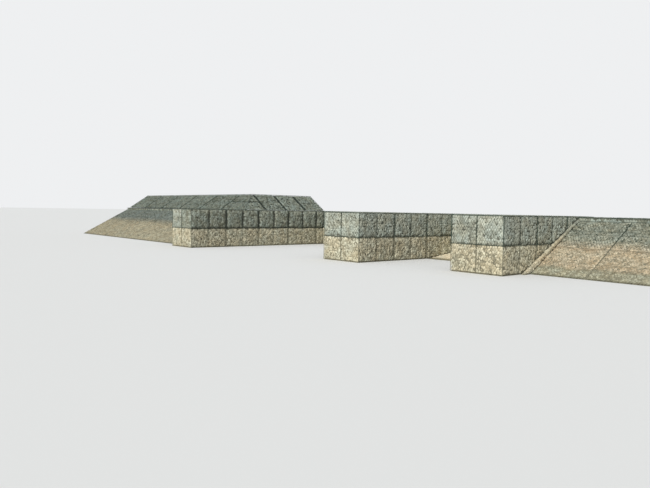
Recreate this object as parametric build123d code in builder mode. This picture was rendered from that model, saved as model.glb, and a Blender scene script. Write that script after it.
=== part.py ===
from build123d import *

import os
from math import atan2, cos, degrees, hypot, radians, sin, tan

# A gabion wall at the water's edge: three piers of wire baskets filled with stone, two walls
# that close the bays between them, and stone mattresses on the bank at both ends.
# Millimetres. X runs along the shore, Y runs inland and Z is up from the waterline.

os.makedirs("parts", exist_ok=True)

# One basket: a wire box of stone with a wire partition across its middle.
basket_length = 2100.0
basket_width = 1050.0
basket_height = 1000.0
cells_in_basket = 2
basket_gap = 0.5

# The stone pushes the mesh out between the wires of the frame, up to a flat middle.
belly = 36.0
slack_belly = 85.0
lid_crown = 25.0
shoulder = 200.0
first_inset = 0.35
first_lift = 0.6

# Piers, from left to right: baskets in each row, and how far inland the front face stands.
rows_in_pier = 2
courses = 2
pier_1_baskets = 5
pier_2_baskets = 4
pier_3_baskets = 3
pier_1_front = 0.0
pier_2_front = 1570.0
pier_3_front = 2240.0
bay_1_width = 8720.0
bay_2_width = 4030.0

# Closing walls at the back of the bays: one basket thick.
bay_1_baskets = 4
bay_2_baskets = 2

# Stone apron on the bed of the second bay.
apron_depth = 1650.0
apron_rise = 220.0

# Mattresses on the bank beside the end piers, from the waterline to the crest.
slope_angle = 28.4
slope_rise = 1840.0
slope_thickness = 300.0
slope_cells = 4
slope_crown = 25.0
panel_width = 2000.0
left_panels = 8
right_panels = 2
left_toe = 750.0
right_toe = 3750.0

# Level mattresses along the crest.
crest_depth = 2000.0
crest_thickness = 275.0
crest_cells = 4
panels_to_crest = 2

# Upper bank: thinner mattresses that rise again behind the left crest and the first pier.
upper_angle = 33.0
upper_rise = 950.0
upper_thickness = 200.0
upper_cells = 2
upper_setback = 250.0
upper_bearing = 400.0
upper_left_panels = 6
upper_right_panels = 4

# Strip of stone that closes the corner between the third pier and its slope.
strip_width = 110.0
strip_toe_height = 170.0
strip_top_height = 40.0

# Lacing: the edge wires of neighbouring baskets, bound together into one thick line.
lacing_size = 10.0
lacing_foot = 20.0
seat_gap = 0.3

# Places that follow from the sizes above.
slope = radians(slope_angle)
slope_run = slope_rise / tan(slope)
pier_width = rows_in_pier * basket_width
wall_height = courses * basket_height
side_seat = belly + seat_gap - basket_gap
pier_1_left = 0.0
pier_2_left = pier_1_left + pier_width + bay_1_width
pier_3_left = pier_2_left + pier_width + bay_2_width
pier_1_back = pier_1_front + pier_1_baskets * basket_length
pier_2_back = pier_2_front + pier_2_baskets * basket_length
pier_3_back = pier_3_front + pier_3_baskets * basket_length
left_slope_right = pier_1_left - side_seat
right_slope_left = pier_3_left + pier_width + side_seat
left_end = left_slope_right - left_panels * panel_width
right_end = right_slope_left + right_panels * panel_width
crest_length = panels_to_crest * panel_width
upper_corner_x = pier_1_left + upper_bearing
upper_corner_y = left_toe + slope_run + upper_setback
upper_base = wall_height + lid_crown + seat_gap
origin_x = (left_end + right_end) / 2
origin_y = (pier_1_front + pier_1_back) / 2


def finish(piece, name):
    """Names a piece and writes it."""
    piece.label = name
    export_step(piece, f"parts/{name}.step")


def pillow(across, up, height):
    """One cell of mesh pushed out by its stone, from the frame on the XY plane to a flat middle."""
    inset = first_inset * shoulder
    lift = first_lift * height
    with BuildPart() as cell:
        with BuildSketch():
            Rectangle(across, up)
        extrude(amount=lift, taper=degrees(atan2(inset, lift)))
        top = cell.faces().sort_by(Axis.Z)[-1]
        extrude(top, amount=height - lift, taper=degrees(atan2(shoulder - inset, height - lift)))
    return cell.part


def basket(length, width, sides, side_belly):
    """A filled basket with its near left corner at the origin and its length along X.

    sides names the faces that show. Each cell of a long side, the ends and the lid bellies out.
    """
    cell = length / cells_in_basket
    middles = [(i + 0.5) * cell for i in range(cells_in_basket)]
    half_height = basket_height / 2
    side_pillow = pillow(cell, basket_height, side_belly)
    end_pillow = pillow(width, basket_height, belly)
    lid_pillow = pillow(cell, width, lid_crown)
    faces = []
    if "near" in sides:
        faces += [(side_pillow, (x, 0, half_height), (1, 0, 0), (0, -1, 0)) for x in middles]
    if "far" in sides:
        faces += [(side_pillow, (x, width, half_height), (1, 0, 0), (0, 1, 0)) for x in middles]
    if "left" in sides:
        faces.append((end_pillow, (0, width / 2, half_height), (0, 1, 0), (-1, 0, 0)))
    if "right" in sides:
        faces.append((end_pillow, (length, width / 2, half_height), (0, 1, 0), (1, 0, 0)))
    if "lid" in sides:
        faces += [(lid_pillow, (x, width / 2, basket_height), (1, 0, 0), (0, 0, 1)) for x in middles]
    with BuildPart() as box:
        Box(length, width, basket_height, align=Align.MIN)
        for bulge, middle, along, out in faces:
            with Locations(Plane(origin=middle, x_dir=along, z_dir=out)):
                add(bulge)
    return box.part


def basket_row(count, length, width, sides, side_belly, ends_show):
    """A course of baskets laid end to end along X, a lacing gap apart."""
    kinds = {}
    for i in range(count):
        shown = set(sides)
        if ends_show and i == 0:
            shown.add("left")
        if ends_show and i == count - 1:
            shown.add("right")
        kinds.setdefault(frozenset(shown), []).append((i * length + basket_gap / 2, basket_gap / 2, 0))
    size = (length - basket_gap, width - basket_gap)
    filled = [(basket(*size, shown, side_belly), places) for shown, places in kinds.items()]
    with BuildPart() as row:
        for piece, places in filled:
            with Locations(*places):
                add(piece)
    return row.part


def mattress(rise, angle, thickness, cells, width):
    """A mattress on a bank: X along its toe, Y uphill, cut level at the toe, one pillow to a cell."""
    run = rise / tan(angle)
    crowned = pillow(width, hypot(run, rise) / cells, slope_crown)
    with BuildPart() as panel:
        with BuildSketch(Plane.YZ):
            with BuildLine():
                Polyline(
                    (0, 0),
                    (run, rise),
                    (run, rise - thickness / cos(angle)),
                    (thickness / sin(angle), 0),
                    (0, 0),
                )
            make_face()
        extrude(amount=width)
        for i in range(cells):
            share = (i + 0.5) / cells
            middle = (width / 2, share * run, share * rise)
            with Locations(Plane(origin=middle, x_dir=(1, 0, 0), z_dir=(0, -sin(angle), cos(angle)))):
                add(crowned)
    return panel.part


def standoff(height):
    """How far a lacing wire stands off the frame so that it lies just clear of the pillows beside it."""
    return first_lift * height / (first_inset * shoulder) * lacing_size / 2 + seat_gap


def lacing(bars, name):
    """Bars, each from its lowest corner to its highest, fused into one frame."""
    with BuildPart() as frame:
        for low, high in bars:
            size = [b - a for a, b in zip(low, high)]
            with Locations(low):
                Box(*size, align=Align.MIN)
    finish(frame.part, name)


def pier(number, left, front, count, right_belly):
    """A pier of two rows side by side, two courses high, running inland."""
    name = f"pier_{number}"
    x0 = left - origin_x
    y0 = front - origin_y
    for course, course_name in enumerate(("lower", "upper")):
        top = {"lid"} if course == courses - 1 else set()
        rows = (
            ("left", x0 + basket_width, {"far"}, belly),
            ("right", x0 + pier_width, {"near"}, right_belly if top else belly),
        )
        for row_name, x, side, side_belly in rows:
            filled = basket_row(count, basket_length, basket_width, side | top, side_belly, True)
            with BuildPart() as row:
                with Locations(Location((x, y0, course * basket_height), (0, 0, 90))):
                    add(filled)
            finish(row.part, f"{name}_{course_name}_{row_name}_row")

    half = lacing_size / 2
    x1 = x0 + pier_width
    y1 = y0 + count * basket_length
    left_wires = (x0 - standoff(belly) - lacing_size, x0 - standoff(belly))
    right_wires = (x1 + standoff(right_belly), x1 + standoff(right_belly) + lacing_size)
    near_wires = (y0 - standoff(belly) - lacing_size, y0 - standoff(belly))
    far_wires = (y1 + standoff(belly), y1 + standoff(belly) + lacing_size)
    middle = x0 + basket_width
    joints = [y0 + i * basket_length for i in range(count + 1)]
    bars = []
    for a, b in (left_wires, right_wires):
        bars += [((a, y - half, lacing_foot), (b, y + half, wall_height)) for y in joints]
    for a, b in (near_wires, far_wires):
        bars.append(((middle - half, a, lacing_foot), (middle + half, b, wall_height)))
    for z in (basket_height, wall_height):
        for a, b in (left_wires, right_wires):
            bars.append(((a, near_wires[0], z - half), (b, far_wires[1], z + half)))
        for a, b in (near_wires, far_wires):
            bars.append(((left_wires[0], a, z - half), (right_wires[1], b, z + half)))
    low = wall_height + standoff(lid_crown)
    bars += [((left_wires[0], y - half, low), (right_wires[1], y + half, low + lacing_size)) for y in joints[1:-1]]
    bars.append(((middle - half, near_wires[0], low), (middle + half, far_wires[1], low + lacing_size)))
    ties = [(x, y) for x in (left_wires, right_wires) for y in joints[1:-1]]
    bars += [((a, y - half, wall_height), (b, y + half, low)) for (a, b), y in ties]
    bars += [((middle - half, a, wall_height), (middle + half, b, low)) for a, b in (near_wires, far_wires)]
    lacing(bars, f"{name}_lacing")


def closing_wall(number, left, width, back, count, left_belly):
    """A wall one basket thick that closes a bay between two piers.

    left_belly is how far the upper course of the pier on its left bellies out.
    """
    name = f"bay_{number}_wall"
    y0 = back - basket_width - origin_y
    for course, course_name in enumerate(("lower", "upper")):
        top = {"lid"} if course == courses - 1 else set()
        left_seat = (left_belly if top else belly) + seat_gap - basket_gap
        length = (width - left_seat - side_seat) / count
        filled = basket_row(count, length, basket_width, {"near", "far"} | top, belly, False)
        with BuildPart() as row:
            with Locations((left + left_seat - origin_x, y0, course * basket_height)):
                add(filled)
        finish(row.part, f"{name}_{course_name}_row")

    half = lacing_size / 2
    x0 = left + left_seat - origin_x
    x1 = x0 + count * length
    near_wires = (y0 - standoff(belly) - lacing_size, y0 - standoff(belly))
    far_wires = (y0 + basket_width + standoff(belly), y0 + basket_width + standoff(belly) + lacing_size)
    low = wall_height + standoff(lid_crown)
    bars = []
    for i in range(1, count):
        x = x0 + i * length
        for a, b in (near_wires, far_wires):
            bars.append(((x - half, a, basket_height), (x + half, b, low)))
        bars.append(((x - half, near_wires[0], low), (x + half, far_wires[1], low + lacing_size)))
    for z in (basket_height, wall_height):
        for a, b in (near_wires, far_wires):
            bars.append(((x0 + lacing_size, a, z - half), (x1 - lacing_size, b, z + half)))
    lacing(bars, f"{name}_lacing")


def apron(name, left, width, back):
    """Stone laid on the bed of the bay in front of its closing wall, thinning out to the waterline."""
    front = back - basket_width - belly - seat_gap - apron_depth - origin_y
    with BuildPart() as wedge:
        with BuildSketch(Plane.YZ.offset(left + side_seat - origin_x)):
            with BuildLine():
                Polyline(
                    (front, 0),
                    (front + apron_depth, apron_rise),
                    (front + apron_depth, 0),
                    (front, 0),
                )
            make_face()
        extrude(amount=width - 2 * side_seat)
    finish(wedge.part, name)


def slope_panels(side, left, toe, count, step):
    """Mattresses side by side on the bank. step is -1 where they are counted towards the left."""
    filled = mattress(slope_rise, slope, slope_thickness, slope_cells, panel_width - basket_gap)
    for i in range(count):
        x = left + step * i * panel_width + basket_gap / 2 - origin_x
        with BuildPart() as panel:
            with Locations((x, toe - origin_y, 0)):
                add(filled)
        finish(panel.part, f"{side}_slope_panel_{i + 1}")


def crest(name, left, toe, count):
    """Level mattresses laid end to end behind the top of a slope."""
    length = crest_length - basket_gap
    cell = length / crest_cells
    crowned = pillow(cell, crest_depth, slope_crown)
    top = wall_height - slope_crown
    y = toe + slope_run + basket_gap - origin_y
    with BuildPart() as course:
        for i in range(count):
            x = left + i * crest_length + basket_gap / 2 - origin_x
            with Locations((x, y, top - crest_thickness)):
                Box(length, crest_depth, crest_thickness, align=Align.MIN)
            cells = [(x + (k + 0.5) * cell, y + crest_depth / 2, top) for k in range(crest_cells)]
            with Locations(*cells):
                add(crowned)
    finish(course.part, name)


def upper_bank(name, length, count, turn, keep):
    """Mattresses rising from the shared corner, mitred along the hip where the two banks meet."""
    width = length / count
    filled = mattress(upper_rise, radians(upper_angle), upper_thickness, upper_cells, width - basket_gap)
    if turn:
        places = [(0, i * width + basket_gap / 2) for i in range(count)]
    else:
        places = [(-(i + 1) * width + basket_gap / 2, 0) for i in range(count)]
    corner = (upper_corner_x - origin_x, upper_corner_y - origin_y)
    side = basket_gap / 2 if keep == Keep.TOP else -basket_gap / 2
    with BuildPart() as bank:
        for x, y in places:
            with Locations(Location((corner[0] + x, corner[1] + y, upper_base), (0, 0, turn))):
                add(filled)
        split(bisect_by=Plane(origin=(corner[0] + side, corner[1], 0), z_dir=(1, 1, 0)), keep=keep)
    finish(bank.part, name)


def corner_strip(name, left, toe):
    """The wedge of stone in the corner between the third pier and its slope, lower towards the top."""
    lift = slope_crown + seat_gap
    toe_y = toe - origin_y
    foot = toe_y - lift / sin(slope)
    head_y = toe_y + slope_run - lift * sin(slope)
    head_z = slope_rise + lift * cos(slope)
    with BuildPart() as strip:
        with BuildSketch(Plane.YZ.offset(left + basket_gap / 2 - origin_x)):
            with BuildLine():
                Polyline(
                    (foot, 0),
                    (head_y, head_z),
                    (head_y - strip_top_height * sin(slope), head_z + strip_top_height * cos(slope)),
                    (foot - strip_toe_height / sin(slope), 0),
                    (foot, 0),
                )
            make_face()
        extrude(amount=strip_width)
    finish(strip.part, name)


pier(1, pier_1_left, pier_1_front, pier_1_baskets, slack_belly)
pier(2, pier_2_left, pier_2_front, pier_2_baskets, belly)
pier(3, pier_3_left, pier_3_front, pier_3_baskets, belly)
closing_wall(1, pier_1_left + pier_width, bay_1_width, pier_2_back, bay_1_baskets, slack_belly)
closing_wall(2, pier_2_left + pier_width, bay_2_width, pier_3_back, bay_2_baskets, belly)
apron("bay_2_apron", pier_2_left + pier_width, bay_2_width, pier_3_back)
slope_panels("left", left_slope_right - panel_width, left_toe, left_panels, -1)
slope_panels("right", right_slope_left, right_toe, right_panels, 1)
crest("left_crest", left_end, left_toe, left_panels // panels_to_crest)
crest("right_crest", right_slope_left, right_toe, right_panels // panels_to_crest)
upper_bank("left_upper_bank", upper_corner_x - left_end, upper_left_panels, 0, Keep.BOTTOM)
upper_bank("pier_1_upper_bank", pier_1_back - upper_corner_y, upper_right_panels, 90, Keep.TOP)
corner_strip("corner_strip", right_slope_left, right_toe)
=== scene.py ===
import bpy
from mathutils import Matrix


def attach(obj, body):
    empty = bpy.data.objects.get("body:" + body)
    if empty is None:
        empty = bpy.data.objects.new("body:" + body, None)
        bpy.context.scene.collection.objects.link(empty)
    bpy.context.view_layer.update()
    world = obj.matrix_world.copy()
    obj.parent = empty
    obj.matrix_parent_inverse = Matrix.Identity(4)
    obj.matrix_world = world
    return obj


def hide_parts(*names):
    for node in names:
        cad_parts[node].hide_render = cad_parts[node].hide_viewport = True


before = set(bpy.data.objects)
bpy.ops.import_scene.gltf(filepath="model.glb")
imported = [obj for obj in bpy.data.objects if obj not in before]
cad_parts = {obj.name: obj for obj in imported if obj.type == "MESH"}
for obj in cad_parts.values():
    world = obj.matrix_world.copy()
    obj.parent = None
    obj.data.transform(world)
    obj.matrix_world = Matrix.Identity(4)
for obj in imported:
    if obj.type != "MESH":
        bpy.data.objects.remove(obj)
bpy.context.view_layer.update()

from math import pi, radians

import bmesh
import bpy
import numpy as np
from mathutils import Matrix, Quaternion, Vector
from mathutils.bvhtree import BVHTree

# Lower courses of the piers and the closing walls: wire baskets 1 m high, the foot of the whole work,
# filled with hard cream limestone broken to 100 to 200 mm, which floods have bleached and silted. The
# stones behind the mesh are set by hand, tight against each other, with their flattest face outwards.
stone_nodes = [name for name in sorted(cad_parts) if not name.endswith("_lacing")]
same_corner = 1e-5
flat_angle = radians(0.5)


def solid_of(node):
    """The node's baskets as the frame has them, with triangles joined back into flat facets."""
    bm = bmesh.new()
    bm.from_mesh(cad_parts[node].data)
    bmesh.ops.remove_doubles(bm, verts=bm.verts, dist=same_corner)
    bmesh.ops.dissolve_limit(bm, angle_limit=flat_angle, verts=bm.verts, edges=bm.edges)
    bm.normal_update()
    bm.faces.index_update()
    bm.verts.index_update()
    return bm


def surface_of(facets):
    """A tree that finds where a line meets these facets."""
    corners = [vert.co.copy() for facet in facets for vert in facet.verts]
    counts = np.cumsum([0] + [len(facet.verts) for facet in facets])
    return BVHTree.FromPolygons(corners, [list(range(a, b)) for a, b in zip(counts, counts[1:])])


solids = {node: solid_of(node) for node in stone_nodes}
whole_wall = surface_of([facet for node in stone_nodes for facet in solids[node].faces])

# Each face of a basket swells out between its wires like a pillow, and stone and mesh are laid on it
# pillow by pillow. The facets of one pillow meet at less than same_pillow_angle. A place on it is
# covered where another solid stands within covered_within of it, or where it lies inside one.
same_pillow_angle = radians(30)
square_on = 0.98
at_partition = 0.01
sight_height = 0.01
off_the_face = 1e-4
covered_within = 0.06


def pillows_of(bm):
    """The facets of a node in groups: one group for each pillow or plain side."""
    groups, seen = [], set()
    for first in bm.faces:
        if first.index in seen:
            continue
        seen.add(first.index)
        group = [first]
        for facet in group:
            for edge in facet.edges:
                if edge.is_convex and edge.calc_face_angle() < same_pillow_angle:
                    for other in edge.link_faces:
                        if other.index not in seen:
                            seen.add(other.index)
                            group.append(other)
        groups.append(group)
    return groups


class Pillow:
    """One group of facets, with axes along its face (across and up) and out of it.

    low and high are how far it reaches along the axes. partition says at which of its ends, low and
    high, across and up, its baskets go on past a partition. bounds are the planes of its facets and
    of those round it, which its stones stay behind.
    """

    def __init__(self, facets):
        self.facets = facets
        self.out = sum((facet.normal * facet.calc_area() for facet in facets), Vector()).normalized()
        lies_level = abs(self.out.z) > square_on
        level = Vector((1, 0, 0)) if lies_level else Vector((-self.out.y, self.out.x, 0))
        self.across = level.normalized()
        self.up = self.out.cross(self.across)
        self.axes = np.array([self.across, self.up, self.out])
        corners = np.array([vert.co for facet in facets for vert in facet.verts]) @ self.axes.T
        self.low = corners.min(0)
        self.high = corners.max(0)
        self.surface = surface_of(facets)
        self.partition = np.zeros((2, 2), bool)
        for edge in {edge for facet in facets for edge in facet.edges if not edge.is_convex}:
            middle = self.axes @ sum((vert.co for vert in edge.verts), Vector()) / 2
            ends = np.array([self.low[:2], self.high[:2]])
            self.partition |= np.abs(ends - middle[:2]) < at_partition
        folds = [edge for facet in facets for edge in facet.edges if edge.is_convex]
        beside = {other for edge in folds for other in edge.link_faces}
        around = sorted(beside | set(facets), key=lambda facet: facet.index)
        self.bounds = [(np.array(facet.normal), facet.normal.dot(facet.verts[0].co)) for facet in around]

    def touch(self, u, v):
        """Where the face is at (u, v), its facet's normal, and whether another solid covers it."""
        start = self.across * u + self.up * v + self.out * (self.high[2] + sight_height)
        place, normal, _, _ = self.surface.ray_cast(start, -self.out)
        if place is None:
            return None
        if normal.dot(self.out) < 0:
            normal = -normal
        _, cover, _, distance = whole_wall.ray_cast(place + self.out * off_the_face, self.out)
        covered = cover is not None and (distance < covered_within or cover.dot(self.out) > 0)
        return place, normal, covered


pillows = {node: [Pillow(facets) for facets in pillows_of(solids[node])] for node in stone_nodes}

# A face is dressed where enough of it shows past its neighbours, and it doesn't lie face down.
test_rows = 5
test_span = (0.06, 0.93)
shown_enough = 0.2
face_down = -0.4


def is_dressed(pillow):
    """Whether a face gets stones, and thick wires along its edges."""
    size = (pillow.high - pillow.low)[:2]
    steps = np.linspace(*test_span, test_rows)
    touches = [pillow.touch(*(pillow.low[:2] + (a, b) * size)) for a in steps for b in steps]
    found = [touch for touch in touches if touch]
    share = sum(not touch[2] for touch in found) / max(1, len(found))
    return share > shown_enough and pillow.out.z > face_down


def pillow_numbers(node):
    """Which pillow of the node each facet belongs to."""
    return {facet.index: i for i, pillow in enumerate(pillows[node]) for facet in pillow.facets}


dressed = {node: [is_dressed(pillow) for pillow in pillows[node]] for node in stone_nodes}

# The broken stones: a few shapes, each about one unit across, that are repeated at every size and turn.
# Each has one flat face up and broken_faces more, at broken_reach from its middle.
stone_shapes = 18
rough_reach = (0.86, 1.2)
broken_faces = 3
broken_reach = (0.28, 0.38)
stone_form = (1.18, 0.98, 0.86)
random = np.random.default_rng(seed=61)


def taken_from(bm):
    """The corners and facets of a finished shape, ready to be repeated."""
    corners = np.array([vert.co for vert in bm.verts])
    facets = np.array([[vert.index for vert in facet.verts] for facet in bm.faces])
    bm.free()
    return corners, facets


def broken_stone():
    """One stone with its flattest face up and its hidden back cut off."""
    bm = bmesh.new()
    bmesh.ops.create_icosphere(bm, subdivisions=1, radius=0.5)
    for vert in bm.verts:
        vert.co *= random.uniform(*rough_reach)
    others = [Vector(random.normal(size=3)).normalized() for _ in range(broken_faces)]
    for side in [Vector((0, 0, 1))] + others:
        reach = random.uniform(*broken_reach)
        for vert in bm.verts:
            vert.co -= side * max(0.0, vert.co.dot(side) - reach)
    bmesh.ops.scale(bm, vec=stone_form, verts=bm.verts)
    back = min(bm.verts, key=lambda vert: vert.co.z)
    bmesh.ops.delete(bm, geom=[back], context="VERTS")
    bmesh.ops.holes_fill(bm, edges=bm.edges, sides=0)
    bmesh.ops.triangulate(bm, faces=bm.faces)
    bmesh.ops.recalc_face_normals(bm, faces=bm.faces)
    bm.verts.index_update()
    return taken_from(bm)


shapes = [broken_stone() for _ in range(stone_shapes)]
shape_corners = np.array([corners for corners, _ in shapes])
shape_facets = np.array([facets for _, facets in shapes])

# How the stones lie: scattered over a face, pushed apart round by round until they fit, and each a
# little askew. Scatter, gaps and room are shares of the spacing, a push is a share of what a gap
# falls short, and a stone's size is a share of its room among the stones near it.
scatter = 0.4
edge_room = 0.44
settled_gap = 1.12
least_room = 0.8
most_room = 1.3
push_step = 0.3
settling_rounds = 12
least_apart = 1e-6
stones_near = 4
stone_size = (1.35, 1.7)
askew = 0.2
behind_mesh = (0.003, 0.018)
inside_edge = (0.002, 0.01)
over_floor = 0.001
thinnest_stone = 0.02

# A pier's end faces -y and is packed tight: its stones may pass its foot, its head and the side where
# the other row is, which is the high side (1) on a left row and the low side (0) on a right one.
tight_end = -0.05
row_beside = {"left": 1, "right": 0}


def facing(normals):
    """Turns that lay the flattest face of each stone to the mesh, a little askew."""
    out = normals + random.normal(scale=askew, size=normals.shape)
    out /= np.linalg.norm(out, axis=1)[:, None]
    side = np.cross(out, random.normal(size=normals.shape))
    side /= np.linalg.norm(side, axis=1)[:, None]
    return np.stack([side, np.cross(out, side), out], axis=2)


def settled(size, spacing):
    """Places for the stones of a face of this size, in no rows, and how much room each one has."""
    columns, rows = (max(1, round(side / spacing)) for side in size)
    steps = np.stack(np.meshgrid(np.arange(columns) + 0.5, np.arange(rows) + 0.5), -1).reshape(-1, 2)
    spots = steps / (columns, rows) * size + random.uniform(-scatter, scatter, steps.shape) * spacing
    edge = np.minimum(edge_room * spacing, size / 2)
    for _ in range(settling_rounds):
        gaps = spots[:, None] - spots[None]
        apart = np.maximum(np.linalg.norm(gaps, axis=2), least_apart)
        push = np.maximum(0, settled_gap * spacing - apart) / apart * push_step
        spots = np.clip(spots + (gaps * push[:, :, None]).sum(1), edge, size - edge)
    apart = np.linalg.norm(spots[:, None] - spots[None], axis=2)
    nearest = np.sort(apart, axis=1)[:, 1:stones_near + 1]
    room = nearest.mean(1) if nearest.size else np.full(len(spots), spacing)
    return spots, np.clip(room, least_room * spacing, most_room * spacing)


def stones_on(pillow, spacing, seam, joint, proud, inner):
    """Lays stones behind one face and returns their corners and kinds."""
    clear = np.where(pillow.partition, joint, seam)
    if inner is not None and pillow.out.y < -square_on:
        clear[inner, 0] = tight_end
        clear[:, 1] = tight_end
    spots, room = settled((pillow.high - pillow.low)[:2], spacing)
    touches = [pillow.touch(*(pillow.low[:2] + spot)) for spot in spots]
    laid = [i for i, touch in enumerate(touches) if touch and not touch[2]]
    if not laid:
        return np.empty((0, *shape_corners.shape[1:])), np.empty(0, int)
    places = np.array([touches[i][0] for i in laid]) @ pillow.axes.T
    normals = np.array([touches[i][1] for i in laid]) @ pillow.axes.T
    count = len(laid)
    kinds = random.integers(0, stone_shapes, count)
    stones = np.einsum("nij,nkj->nki", facing(normals), shape_corners[kinds])
    stones *= (room[laid] * random.uniform(*stone_size, count))[:, None, None]
    outermost = np.einsum("nkj,nj->nk", stones, normals).max(1)
    sunk = outermost + random.uniform(*behind_mesh, count) - proud
    stones += (places - normals * sunk[:, None])[:, None, :]
    for axis in (0, 1):
        low = pillow.low[axis] + clear[0, axis]
        high = pillow.high[axis] - clear[1, axis]
        stones[:, :, axis] += np.maximum(0, low - stones[:, :, axis].min(1))[:, None]
        stones[:, :, axis] -= np.maximum(0, stones[:, :, axis].max(1) - high)[:, None]
    corners = stones @ pillow.axes
    inside = random.uniform(*inside_edge, count)[:, None] - proud
    for normal, reach in pillow.bounds:
        corners -= np.maximum(0, corners @ normal - reach + inside)[:, :, None] * normal
    corners[:, :, 2] = np.maximum(corners[:, :, 2], over_floor)
    whole = np.ptp(corners @ pillow.axes[2], axis=1) > thinnest_stone
    return corners[whole], kinds[whole]


# Behind the stones lies the heart, the rest of the fill, as one closed body painted darker than the
# stones, as the shade that falls between them. The three finishes of a piece are the heart's, the
# stones' and, for faces that lie face down, the underside's. A stone's tone is from 0, dark, to 1, pale,
# or to lid_tone on a lid, and shifts from one pillow to the next.
heart_part, stone_part, under_part = range(3)
foot_height = 0.01
nearly_parallel = 0.1
lid_tone = 0.4
pillow_tone = 0.09


def heart_of(node, recess, settle):
    """The node's baskets drawn in behind the dressed faces, with the finish of each facet."""
    bm = solids[node]
    number = pillow_numbers(node)
    foot = min(vert.co.z for vert in bm.verts) + foot_height
    places = []
    for vert in bm.verts:
        meeting = sorted({number[facet.index] for facet in vert.link_faces})
        outs = np.array([pillows[node][i].out for i in meeting])
        depths = np.array([-recess if dressed[node][i] else 0.0 for i in meeting])
        drawn_in = Vector(np.linalg.lstsq(outs, depths, rcond=nearly_parallel)[0])
        sunk = Vector((0, 0, settle if vert.co.z < foot else 0))
        places.append(vert.co + drawn_in - sunk)
    heart = bm.copy()
    for vert, place in zip(heart.verts, places):
        vert.co = (place.x, place.y, max(place.z, 0.0))
    under = heart.faces.layers.int.new("under")
    for facet in heart.faces:
        facet[under] = int(pillows[node][number[facet.index]].out.z < face_down)
    bmesh.ops.triangulate(heart, faces=heart.faces)
    finish = np.array([under_part if facet[under] else heart_part for facet in heart.faces])
    return (*taken_from(heart), finish)


def fill(
    node, materials, spacing, recess=0.03, seam=(0.0, 0.0), joint=-0.03, settle=0.0, proud=0.0
):
    """Builds one node's stone: a dark heart drawn in behind the dressed faces, and stones before it.

    recess is how deep the heart lies. seam is how far the stones stay off the sides of a face, and off
    its foot and head, and joint is how far they stay off a partition. Below 0, they may pass it by as
    much. settle is how far the foot has sunk, and proud is how far the stones stand out of the face.
    """
    inner = row_beside.get(node.removesuffix("_row").split("_")[-1])
    heart_corners, heart_facets, heart_finishes = heart_of(node, recess, settle)
    places, facets, finishes = [heart_corners], [heart_facets], [heart_finishes]
    tones = [np.zeros(len(heart_corners))]
    count = len(heart_corners)
    for pillow, has_stones in zip(pillows[node], dressed[node]):
        if not has_stones:
            continue
        corners, kinds = stones_on(pillow, spacing, seam, joint, proud, inner)
        starts = count + np.arange(len(kinds)) * shape_corners.shape[1]
        facets.append((shape_facets[kinds] + starts[:, None, None]).reshape(-1, 3))
        places.append(corners.reshape(-1, 3))
        finishes.append(np.full(len(kinds) * shape_facets.shape[1], stone_part))
        palest = lid_tone if pillow.out.z > square_on else 1.0
        tone = random.random(len(kinds)) * palest + random.uniform(-pillow_tone, pillow_tone)
        tones.append(np.repeat(np.clip(tone, 0, 1), shape_corners.shape[1]))
        count += corners.shape[0] * corners.shape[1]
    mesh = bpy.data.meshes.new(node + "_fill")
    mesh.from_pydata(np.concatenate(places).tolist(), [], np.concatenate(facets).tolist())
    mesh.polygons.foreach_set("material_index", np.concatenate(finishes).astype(np.int32))
    tone = mesh.attributes.new("tone", "FLOAT", "POINT")
    tone.data.foreach_set("value", np.concatenate(tones).astype(np.float32))
    for material in materials:
        mesh.materials.append(material)
    mesh.update()
    piece = bpy.data.objects.new(node + "_fill", mesh)
    bpy.context.scene.collection.objects.link(piece)
    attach(piece, "root")
    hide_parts(node)


# The finishes of stone. Bands are colours by height over the wall's foot, on a scale up to band_top,
# and stains make them rise and fall by stain_rise. The foot is soaked up to the wet line.
band_top = 3.0
stain_rise = 0.2
wet_line = 0.05
wet_spread = 0.4
stone_tones = [
    (0.0, (0.66, 0.65, 0.62)),
    (0.2, (0.8, 0.78, 0.74)),
    (0.5, (0.9, 0.9, 0.88)),
    (0.8, (1.0, 0.99, 0.97)),
    (1.0, (1.1, 1.1, 1.08)),
]
grain_tones = [(0.3, (0.84, 0.84, 0.84)), (0.7, (1.1, 1.1, 1.1))]
lichen_tones = [(0.38, (0.96, 0.995, 1.025)), (0.62, (1.035, 1.0, 0.96))]
soaked_tones = [(0.0, (0.3, 0.3, 0.26)), (1.0, (1.0, 1.0, 1.0))]


def shader_node(tree, kind, inputs, **settings):
    """One shader node with its settings, and each input linked or set."""
    node = tree.nodes.new(kind)
    for name, value in settings.items():
        setattr(node, name, value)
    for name, value in inputs.items():
        if isinstance(value, bpy.types.NodeSocket):
            tree.links.new(value, node.inputs[name])
        else:
            node.inputs[name].default_value = value
    return node


def tinted(tree, value, stops):
    """The colour for a value, blended between these stops."""
    node = shader_node(tree, "ShaderNodeValToRGB", {"Fac": value})
    elements = node.color_ramp.elements
    while len(elements) < len(stops):
        elements.new(0.5)
    while len(elements) > len(stops):
        elements.remove(elements[-1])
    for element, (place, colour) in zip(elements, stops):
        element.position = place
        element.color = (*colour, 1)
    return node.outputs["Color"]


def multiplied(tree, colour, by, share=1.0):
    """A colour times another, with this share of the change. Sockets 6 and 7 are the mix's colours."""
    inputs = {0: share, 6: colour, 7: by}
    settings = {"data_type": "RGBA", "blend_type": "MULTIPLY", "clamp_factor": False}
    return shader_node(tree, "ShaderNodeMix", inputs, **settings).outputs[2]


def rescaled(tree, value, **limits):
    """A value carried from one pair of limits to another, from 0 to 1 where none are given."""
    inputs = {"Value": value} | {name.replace("_", " ").title(): limit for name, limit in limits.items()}
    return shader_node(tree, "ShaderNodeMapRange", inputs).outputs["Result"]


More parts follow.
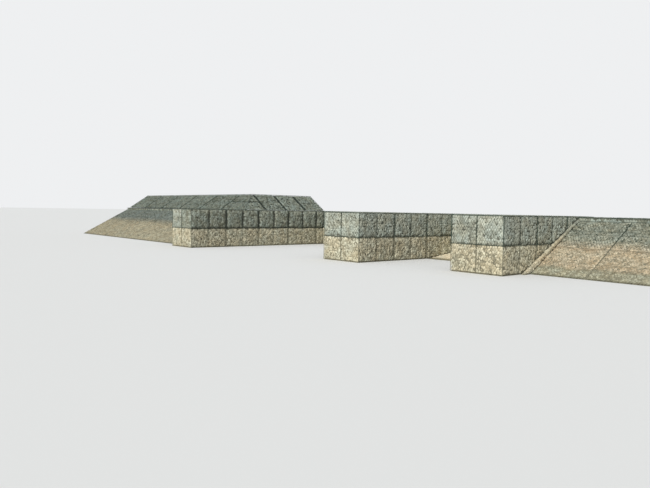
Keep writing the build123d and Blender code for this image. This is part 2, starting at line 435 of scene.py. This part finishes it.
def new_finish(name, gloss):
    """A material with its shader, and the place on the wall and height that its patterns follow."""
    material = bpy.data.materials.new(name)
    material.use_nodes = True
    tree = material.node_tree
    shader = tree.nodes["Principled BSDF"]
    shader.inputs["Specular IOR Level"].default_value = gloss
    here = shader_node(tree, "ShaderNodeTexCoord", {}).outputs["Object"]
    height = shader_node(tree, "ShaderNodeSeparateXYZ", {0: here}).outputs["Z"]
    return material, tree, shader, here, height


def relief(tree, shader, pattern, strength, depth):
    """Roughens the shader's surface by a pattern, to this depth."""
    inputs = {"Strength": strength, "Distance": depth, "Height": pattern}
    bump = shader_node(tree, "ShaderNodeBump", inputs)
    tree.links.new(bump.outputs["Normal"], shader.inputs["Normal"])


def srgb(red, green, blue):
    """A colour as eyes read it, from 0 to 255, in the shader's own measure."""
    return tuple(((c / 255 + 0.055) / 1.055) ** 2.4 for c in (red, green, blue))


def stone_finish(name, bands, spread_of_tone=1.0):
    """Broken stone: each one of its own tone, tinted by its height, and soaked below the wet line."""
    material, tree, shader, here, height = new_finish(name, gloss=0.25)
    stain = shader_node(tree, "ShaderNodeTexNoise", {"Vector": here, "Scale": 1.1, "Detail": 3.0})
    inputs = {0: stain.outputs["Fac"], 1: stain_rise, 2: height}
    stained = shader_node(tree, "ShaderNodeMath", inputs, operation="MULTIPLY_ADD").outputs[0]
    level = rescaled(tree, stained, from_min=stain_rise / 2, from_max=band_top + stain_rise / 2)
    colour = tinted(tree, level, [(z / band_top, band) for z, band in bands])
    tone = shader_node(tree, "ShaderNodeAttribute", {}, attribute_name="tone").outputs["Fac"]
    colour = multiplied(tree, colour, tinted(tree, tone, stone_tones), share=spread_of_tone)
    inputs = {"Vector": here, "Scale": 34.0, "Detail": 5.0, "Roughness": 0.65}
    grain = shader_node(tree, "ShaderNodeTexNoise", inputs).outputs["Fac"]
    colour = multiplied(tree, colour, tinted(tree, grain, grain_tones))
    lichen = shader_node(tree, "ShaderNodeTexNoise", {"Vector": here, "Scale": 2.2, "Detail": 2.0})
    colour = multiplied(tree, colour, tinted(tree, lichen.outputs["Fac"], lichen_tones))
    low, high = wet_line * (1 - wet_spread), wet_line * (1 + wet_spread)
    dry = rescaled(tree, height, from_min=low, from_max=high)
    colour = multiplied(tree, colour, tinted(tree, dry, soaked_tones))
    tree.links.new(colour, shader.inputs["Base Color"])
    tree.links.new(rescaled(tree, dry, to_min=0.45, to_max=0.92), shader.inputs["Roughness"])
    relief(tree, shader, grain, strength=0.5, depth=0.006)
    return material


def heart_finish(name, bands, shade=0.3):
    """What shows between the stones: smaller stone in painted shade, darkest between the chips, tinted
    by its height.
    """
    material, tree, shader, here, height = new_finish(name, gloss=0.1)
    shader.inputs["Roughness"].default_value = 1.0
    level = rescaled(tree, height, from_max=band_top)
    colour = tinted(tree, level, [(z / band_top, band) for z, band in bands])
    chips = shader_node(tree, "ShaderNodeTexVoronoi", {"Vector": here, "Scale": 22.0})
    distance = chips.outputs["Distance"]
    gaps = tinted(tree, distance, [(0.1, (1.0, 1.0, 1.0)), (0.8, (shade, shade, shade))])
    tree.links.new(multiplied(tree, colour, gaps), shader.inputs["Base Color"])
    relief(tree, shader, distance, strength=0.6, depth=0.02)
    return material


def under_finish(name, colour):
    """An underside: stone pressed flat against the mesh, as a pattern in relief, with painted shade in
    the gaps.
    """
    material, tree, shader, here, _ = new_finish(name, gloss=0.2)
    shader.inputs["Roughness"].default_value = 0.95
    pressed = {"Vector": here, "Scale": 8.5}
    edges = shader_node(tree, "ShaderNodeTexVoronoi", pressed, feature="DISTANCE_TO_EDGE")
    gaps = edges.outputs["Distance"]
    cells = shader_node(tree, "ShaderNodeTexVoronoi", pressed).outputs["Color"]
    pick = shader_node(tree, "ShaderNodeSeparateColor", {0: cells}).outputs[0]
    dim = tuple(c / 2 for c in colour)
    stones = tinted(tree, pick, [(0.0, dim), (1.0, colour)])
    gap_shade = tinted(tree, gaps, [(0.02, (0.06, 0.06, 0.055)), (0.12, (1.0, 1.0, 1.0))])
    tree.links.new(multiplied(tree, stones, gap_shade), shader.inputs["Base Color"])
    relief(tree, shader, rescaled(tree, gaps, from_max=0.2), strength=0.8, depth=0.03)
    return material


washed_spacing = 0.1
washed_seam = (0.0, -0.02)
silted_heart = heart_finish("silted_stone_in_shade", [(0.0, srgb(160, 154, 132))], shade=0.4)
underside = under_finish("stone_pressed_flat", srgb(190, 186, 168))
lower_bands = [(0.0, srgb(206, 201, 178)), (1.0, srgb(208, 203, 181))]
lower_stone = stone_finish("washed_stone", lower_bands, spread_of_tone=1.45)
lower_finishes = [silted_heart, lower_stone, underside]
for node in stone_nodes:
    if "_lower_" in node:
        fill(node, lower_finishes, washed_spacing, seam=washed_seam)

# Upper courses of the piers and the closing walls: the same wire baskets, set on the lower ones and
# laced to them. Floods seldom reach them, so their stone is greener and greyer, and hasn't been washed.
dry_spacing = 0.116
dry_recess = 0.035
upper_seam = (0.002, -0.02)
upper_joint = -0.012
slack_row = "pier_1_upper_right_row"
heart = heart_finish("stone_in_shade", [(0.0, srgb(140, 140, 126))])
upper_bands = [(0.0, srgb(178, 184, 171)), (2.0, srgb(182, 186, 174))]
upper_stone = stone_finish("grey_green_stone", upper_bands, spread_of_tone=1.2)
upper_finishes = [heart, upper_stone, underside]
for node in stone_nodes:
    if "_upper_" in node and node.endswith("_row") and node != slack_row:
        fill(node, upper_finishes, dry_spacing, dry_recess, upper_seam, upper_joint)

# The row of upper baskets that looks into the first bay: the same wire, with its stone packed looser and
# painted darker, as shade. Its baskets have bellied out since they were filled, with deep gaps between
# them where the heart shows, painted dark as shade.
slack_seam = (0.028, -0.006)
slack_joint = 0.014
slack_shade_bands = [(0.0, srgb(159, 165, 153)), (2.0, srgb(163, 168, 156))]
slack_shaded_stone = stone_finish("grey_green_stone_in_painted_shade", slack_shade_bands, spread_of_tone=1.6)
slack_finishes = [heart, slack_shaded_stone, underside]
fill(slack_row, slack_finishes, dry_spacing, dry_recess, slack_seam, slack_joint)

# Mattresses right of the third pier: flat wire boxes of smaller stone, laid up the slope and wired edge
# to edge. Past floods have left tide marks on them: pale at the foot, warm in the middle, grey-green
# above, and a dark line at each level.
slope_spacing = 0.09
slope_seam = (-0.004, -0.02)
slope_bands = [
    (0.0, srgb(172, 171, 151)),
    (0.22, srgb(175, 173, 152)),
    (0.26, srgb(154, 149, 127)),
    (0.34, srgb(192, 178, 153)),
    (0.84, srgb(193, 180, 155)),
    (0.89, srgb(172, 157, 133)),
    (0.95, srgb(191, 179, 156)),
    (1.2, srgb(161, 163, 148)),
    (1.42, srgb(154, 157, 144)),
    (1.47, srgb(130, 133, 120)),
    (1.53, srgb(155, 158, 144)),
    (2.0, srgb(153, 157, 144)),
]
slope_stone = stone_finish("bank_stone_with_tide_marks", slope_bands, spread_of_tone=1.45)
slope_heart_bands = [(0.0, srgb(150, 147, 126)), (1.0, srgb(148, 141, 121)), (1.2, srgb(88, 94, 82))]
slope_heart = heart_finish("bank_stone_with_tide_marks_in_shade", slope_heart_bands, shade=0.5)
slope_finishes = [slope_heart, slope_stone, underside]
for node in stone_nodes:
    if "right_slope_panel_" in node:
        fill(node, slope_finishes, slope_spacing, seam=slope_seam)

# Mattresses left of the first pier: the same flat wire boxes, laid side by side up the slope, with
# duller stone that has one tide mark half way up.
left_bands = [
    (0.0, srgb(174, 168, 146)),
    (1.0, srgb(170, 163, 141)),
    (1.3, srgb(124, 131, 126)),
    (2.0, srgb(120, 128, 122)),
]
left_stone = stone_finish("left_bank_stone", left_bands, spread_of_tone=1.6)
left_finishes = [slope_heart, left_stone, underside]
for node in stone_nodes:
    if "left_slope_panel_" in node:
        fill(node, left_finishes, washed_spacing, seam=washed_seam)

# The apron in the second bay: pale stone tipped loose against the foot of the closing wall, so that the
# bed there isn't washed away. Nothing but its own weight holds it.
apron_seam = (0.0, 0.02)
apron_proud = 0.025
apron_stone = stone_finish("loose_pale_stone", [(0.0, srgb(240, 229, 203)), (2.0, srgb(236, 225, 198))])
apron_finishes = [silted_heart, apron_stone, underside]
fill("bay_2_apron", apron_finishes, washed_spacing, dry_recess, apron_seam, proud=apron_proud)

# The strip beside the third pier: small pale stone that fills the corner between the pier's baskets and
# the first mattress of the slope. It is packed in by hand once both stand.
strip_spacing = 0.075
strip_recess = 0.02
strip_seam = (-0.02, -0.02)
strip_proud = 0.016
strip_bands = [
    (0.0, srgb(214, 209, 189)),
    (0.6, srgb(203, 193, 168)),
    (1.1, srgb(193, 184, 160)),
    (1.4, srgb(166, 167, 151)),
    (2.0, srgb(145, 148, 137)),
]
strip_stone = stone_finish("small_pale_stone", strip_bands, spread_of_tone=1.3)
# The heart here is painted a little darker than the strip's stones, as the shade between them.
packed_bands = [(0.0, srgb(190, 182, 158)), (2.0, srgb(128, 130, 118))]
strip_heart = heart_finish("small_packed_stone", packed_bands, shade=0.5)
strip_finishes = [strip_heart, strip_stone, underside]
fill(
    "corner_strip", strip_finishes, strip_spacing, strip_recess, strip_seam,
    proud=strip_proud,
)

# The crests: level mattresses along the top of both slopes, of the greyest stone, which stays dry. They
# are laid flat behind the heads of the sloped ones and hold them down.
crest_spacing = 0.125
crest_seam = (0.03, 0.02)
crest_joint = 0.0
bank_bands = [(0.0, srgb(152, 158, 148)), (3.0, srgb(148, 156, 147))]
bank_stone = stone_finish("dry_grey_stone", bank_bands, spread_of_tone=1.8)
crest_finishes = [heart, bank_stone, underside]
for node in stone_nodes:
    if node.endswith("_crest"):
        fill(node, crest_finishes, crest_spacing, dry_recess, crest_seam, crest_joint)

# The upper banks behind the crests: sloped mattresses of the same dry stone, in two runs that meet at a
# mitre, with the left run's stone painted darker as shade. They are laid with wide seams, where the
# heart shows painted near black as the shade deep between them, and the left run's foot has sunk into
# the crest.
wide_seam = (0.055, 0.02)
sunk_foot = 0.024
front_shade_bands = [(0.0, srgb(128, 134, 125)), (3.0, srgb(124, 132, 124))]
front_shaded_stone = stone_finish("dry_grey_stone_in_painted_shade", front_shade_bands, spread_of_tone=1.8)
bank_heart = heart_finish("bank_stone_in_shade", [(0.0, srgb(70, 76, 68))])
front_shaded_finishes = [bank_heart, front_shaded_stone, underside]
side_finishes = [bank_heart, bank_stone, underside]
fill("left_upper_bank", front_shaded_finishes, dry_spacing, dry_recess, wide_seam, settle=sunk_foot)
fill("pier_1_upper_bank", side_finishes, dry_spacing, dry_recess, wide_seam)

# Wire mesh over every face that shows: steel wire in a dull green plastic coat, woven into six-sided
# openings with a double twist on each side. It is folded into boxes, with a thicker wire along every
# edge and partition. A coil laces lids and corners, but not on the plainer slopes, strip and apron.
opening_width = 0.1
opening_pitch = 0.085
twist_length = 0.045
wire_width = 0.0045
twist_width = 0.008
edge_wire = 0.008
seam_wire = 0.006
lid_wire = 0.016
partition_wire = 0.005
silt_line = 0.9
clean_line = 0.98
plain_edged = ("slope", "strip", "apron")
lid_height = 1.9
coil_height = 0.5
coil_pitch = 0.12
coil_reach = 0.013
coil_wire = 0.0025
coil_steps = 6


def coated_wire():
    """Dull green plastic coating, dusty and a little faded, and coated in silt below the silt line."""
    material, tree, shader, here, height = new_finish("green_coated_wire", gloss=0.4)
    inputs = {"Vector": here, "Scale": 3.0, "Detail": 6.0}
    dust = shader_node(tree, "ShaderNodeTexNoise", inputs).outputs["Fac"]
    green = tinted(tree, dust, [(0.35, srgb(44, 62, 54)), (0.7, srgb(84, 98, 86))])
    clean = rescaled(tree, height, from_min=silt_line, from_max=clean_line)
    inputs = {0: clean, 6: (*srgb(146, 142, 120), 1), 7: green}
    silted = shader_node(tree, "ShaderNodeMix", inputs, data_type="RGBA").outputs[2]
    tree.links.new(silted, shader.inputs["Base Color"])
    tree.links.new(rescaled(tree, dust, to_min=0.45, to_max=0.8), shader.inputs["Roughness"])
    return material


def coil_turn():
    """One turn of the lacing coil, one unit long, round the y axis."""
    bm = bmesh.new()
    bmesh.ops.create_circle(bm, cap_ends=True, segments=3, radius=coil_wire)
    bmesh.ops.translate(bm, vec=(coil_reach, 0, 0), verts=bm.verts)
    bmesh.ops.scale(bm, vec=(1, 1 / coil_pitch, 1), verts=bm.verts)
    section = bm.verts[:] + bm.edges[:] + bm.faces[:]
    turning = {"axis": (0, 1, 0), "angle": 2 * pi, "steps": coil_steps, "dvec": (0, 1 / coil_steps, 0)}
    bmesh.ops.spin(bm, geom=section, use_merge=False, **turning)
    bmesh.ops.triangulate(bm, faces=bm.faces)
    bmesh.ops.recalc_face_normals(bm, faces=bm.faces)
    bm.verts.index_update()
    return taken_from(bm)


wire = coated_wire()

# The shapes that are repeated: a flat one for a woven wire, a square one for a thick wire, and a turn of
# the lacing coil.
bm = bmesh.new()
bmesh.ops.create_grid(bm, x_segments=1, y_segments=1, size=0.5)
flat_wire = taken_from(bm)
bm = bmesh.new()
bmesh.ops.create_cube(bm, size=1.0)
square_wire = taken_from(bm)
lacing_turn = coil_turn()


def laid(shape, place, across, along, out):
    """A unit shape with its origin at this place, and its x, y and z along the other three."""
    corners, facets = shape
    return corners @ np.array([across, along, out]) + np.array(place), facets


def woven(pillow):
    """Six-sided openings over one face: flat wires from knot to knot."""
    knots = {}
    rows = int((pillow.high[1] - pillow.low[1]) / opening_pitch) + 1
    columns = int((pillow.high[0] - pillow.low[0]) / opening_width * 2) + 2
    wires = []

    def knot(column, row, end):
        """Where the twist of this column and row starts or ends, if the face shows there."""
        key = (column, row, end)
        if key not in knots:
            u = pillow.low[0] + column * opening_width / 2
            v = pillow.low[1] + row * opening_pitch + end * twist_length
            touch = pillow.touch(u, v) if u < pillow.high[0] and v < pillow.high[1] else None
            knots[key] = touch if touch and not touch[2] else None
        return knots[key]

    def ribbon(a, b, width):
        """A flat wire from knot a to knot b, where both are there."""
        if a and b:
            along, out = b[0] - a[0], a[1]
            side = along.cross(out).normalized()
            wires.append(laid(flat_wire, (a[0] + b[0]) / 2, side * width, along, out))

    for row in range(rows):
        for column in range(row % 2, columns, 2):
            head = knot(column, row, 1)
            ribbon(knot(column, row, 0), head, twist_width)
            for side in (-1, 1):
                if column + side >= 0:
                    ribbon(head, knot(column + side, row + 1, 0), wire_width)
    return wires


def bar(a, b, out, thick):
    """A thick wire just inside the edge from a to b."""
    side = (b - a).cross(out).normalized()
    middle = (a + b) / 2 - out * thick / 2
    return laid(square_wire, middle, side * thick, b - a, out * thick)


def coil(a, b, out):
    """Lacing wound round the edge from a to b, turn after turn."""
    turns = max(1, round((b - a).length / coil_pitch))
    side = (b - a).cross(out).normalized()
    middle = -out * lid_wire / 2
    along = (b - a) / turns
    return [laid(lacing_turn, a.lerp(b, i / turns) + middle, side, along, out) for i in range(turns)]


def edge_wires(node):
    """The wires along each edge between two faces of a basket where one is dressed, with its coil."""
    number = pillow_numbers(node)
    plain = any(word in node for word in plain_edged)
    wires = []
    for edge in solids[node].edges:
        meeting = {number[facet.index] for facet in edge.link_faces}
        if len(meeting) < 2 or not any(dressed[node][i] for i in meeting):
            continue
        a, b = (vert.co.copy() for vert in edge.verts)
        out = sum((facet.normal for facet in edge.link_faces), Vector()).normalized()
        if not edge.is_convex:
            wires.append(bar(a, b, out, partition_wire))
        elif plain or not all(dressed[node][i] for i in meeting):
            wires.append(bar(a, b, out, seam_wire))
        else:
            wires.append(bar(a, b, out, lid_wire if min(a.z, b.z) > lid_height else edge_wire))
            if max(a.z, b.z) > coil_height:
                wires += coil(a, b, out)
    return wires


def wire_mesh(name, nodes):
    """The wires over a group of nodes, as one piece."""
    faces = [pillow for node in nodes for pillow in pillows[node] if pillow.out.z > face_down]
    wires = [flat for pillow in faces for flat in woven(pillow)]
    wires += [each for node in nodes for each in edge_wires(node)]
    starts = np.cumsum([0] + [len(corners) for corners, _ in wires])
    corners = np.concatenate([corners for corners, _ in wires])
    corners[:, 2] = np.maximum(corners[:, 2], over_floor)
    facets = []
    for start, (_, loops) in zip(starts, wires):
        facets += (loops + start).tolist()
    mesh = bpy.data.meshes.new(name)
    mesh.from_pydata(corners.tolist(), [], facets)
    mesh.materials.append(wire)
    mesh.update()
    piece = bpy.data.objects.new(name, mesh)
    bpy.context.scene.collection.objects.link(piece)
    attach(piece, "root")


wire_groups = {
    "pier_1_wire_mesh": ("pier_1_lower", "pier_1_upper_left", "pier_1_upper_right"),
    "pier_2_wire_mesh": ("pier_2",),
    "pier_3_wire_mesh": ("pier_3",),
    "bay_1_wire_mesh": ("bay_1",),
    "bay_2_wire_mesh": ("bay_2_wall",),
    "left_slope_wire_mesh": ("left_slope",),
    "right_slope_wire_mesh": ("right_slope",),
    "crest_wire_mesh": ("left_crest", "right_crest"),
    "upper_bank_wire_mesh": ("left_upper_bank", "pier_1_upper_bank"),
}
for name, starts in wire_groups.items():
    wire_mesh(name, [node for node in stone_nodes if node.startswith(starts)])

# Lacing of the piers and the closing walls: the edge wires of baskets that meet, bound into one thick
# line with more of the same green coated wire, so that the rows and courses hold as one mass.
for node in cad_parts:
    if node.endswith("_lacing"):
        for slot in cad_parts[node].material_slots:
            slot.material = wire

# The floor: one wide pale sheet laid just under the wall's foot, which takes the wall's shadow. It looks
# paler to the camera than it is in the light that it throws back on the stone.
floor_reach = 400.0
floor_drop = 0.001
floor_mesh = bpy.data.meshes.new("floor")
bm = bmesh.new()
bmesh.ops.create_grid(bm, x_segments=1, y_segments=1, size=floor_reach)
bm.to_mesh(floor_mesh)
bm.free()
floor = bpy.data.objects.new("floor", floor_mesh)
floor.location.z = -floor_drop
bpy.context.scene.collection.objects.link(floor)
floor_material = bpy.data.materials.new("pale_floor")
floor_material.use_nodes = True
floor_tree = floor_material.node_tree
in_sight = shader_node(floor_tree, "ShaderNodeLightPath", {}).outputs["Is Camera Ray"]
floor_tones = {0: in_sight, 6: (0.4, 0.4, 0.39, 1), 7: (0.78, 0.78, 0.77, 1)}
floor_colour = shader_node(floor_tree, "ShaderNodeMix", floor_tones, data_type="RGBA").outputs[2]
floor_shader = floor_tree.nodes["Principled BSDF"]
floor_tree.links.new(floor_colour, floor_shader.inputs["Base Color"])
floor_shader.inputs["Roughness"].default_value = 0.9
floor_shader.inputs["Specular IOR Level"].default_value = 0.1
floor_mesh.materials.append(floor_material)

# The light: a soft pale surround, seen as plain near-white by the camera and in reflections, and a low
# lamp as far off as the sun, behind the camera and to its left.
world = bpy.data.worlds.new("surround")
bpy.context.scene.world = world
world.use_nodes = True
sky = world.node_tree
lighting = sky.nodes["Background"].outputs[0]
sky.nodes["Background"].inputs["Color"].default_value = (0.93, 0.97, 1.0, 1)
sky.nodes["Background"].inputs["Strength"].default_value = 0.58
backdrop = {"Color": (0.86, 0.87, 0.88, 1), "Strength": 1.0}
backdrop_shader = shader_node(sky, "ShaderNodeBackground", backdrop).outputs[0]
rays = shader_node(sky, "ShaderNodeLightPath", {}).outputs
through = {0: rays["Is Glossy Ray"], 1: rays["Is Transmission Ray"]}
mirrored = shader_node(sky, "ShaderNodeMath", through, operation="MAXIMUM").outputs[0]
looked_at = {0: rays["Is Camera Ray"], 1: mirrored}
in_view = shader_node(sky, "ShaderNodeMath", looked_at, operation="MAXIMUM").outputs[0]
either = shader_node(sky, "ShaderNodeMixShader", {0: in_view, 1: lighting, 2: backdrop_shader})
sky.links.new(either.outputs[0], sky.nodes["World Output"].inputs["Surface"])

lamp_from = Vector((0.22, -0.88, 0.44))
lamp_data = bpy.data.lights.new("key_lamp", "SUN")
lamp_data.energy = 3.1
lamp_data.angle = radians(5)
lamp_data.color = (1.0, 0.98, 0.95)
lamp = bpy.data.objects.new("key_lamp", lamp_data)
lamp.rotation_euler = lamp_from.to_track_quat("Z", "Y").to_euler()
bpy.context.scene.collection.objects.link(lamp)

# The camera stands where the photograph was taken from, about 2 m over the wall's foot and off the third
# pier's end. It looks a little downwards and leans one degree to one side.
camera_place = Vector((26.685, -20.35, 2.08))
looking = Vector((-0.7572, 0.6532, 0.0))
pitch = radians(-3.225)
roll = radians(1.04)
camera_data = bpy.data.cameras.new("camera")
camera_data.sensor_width = 36.0
camera_data.lens = 33.42
camera_data.clip_end = 1000.0
camera = bpy.data.objects.new("camera", camera_data)
sight = looking.normalized() + Vector((0, 0, np.tan(pitch)))
turn = sight.to_track_quat("-Z", "Y") @ Quaternion((0, 0, 1), roll)
camera.matrix_world = Matrix.Translation(camera_place) @ turn.to_matrix().to_4x4()
bpy.context.scene.collection.objects.link(camera)
bpy.context.scene.camera = camera
bpy.context.scene.view_settings.view_transform = "Standard"
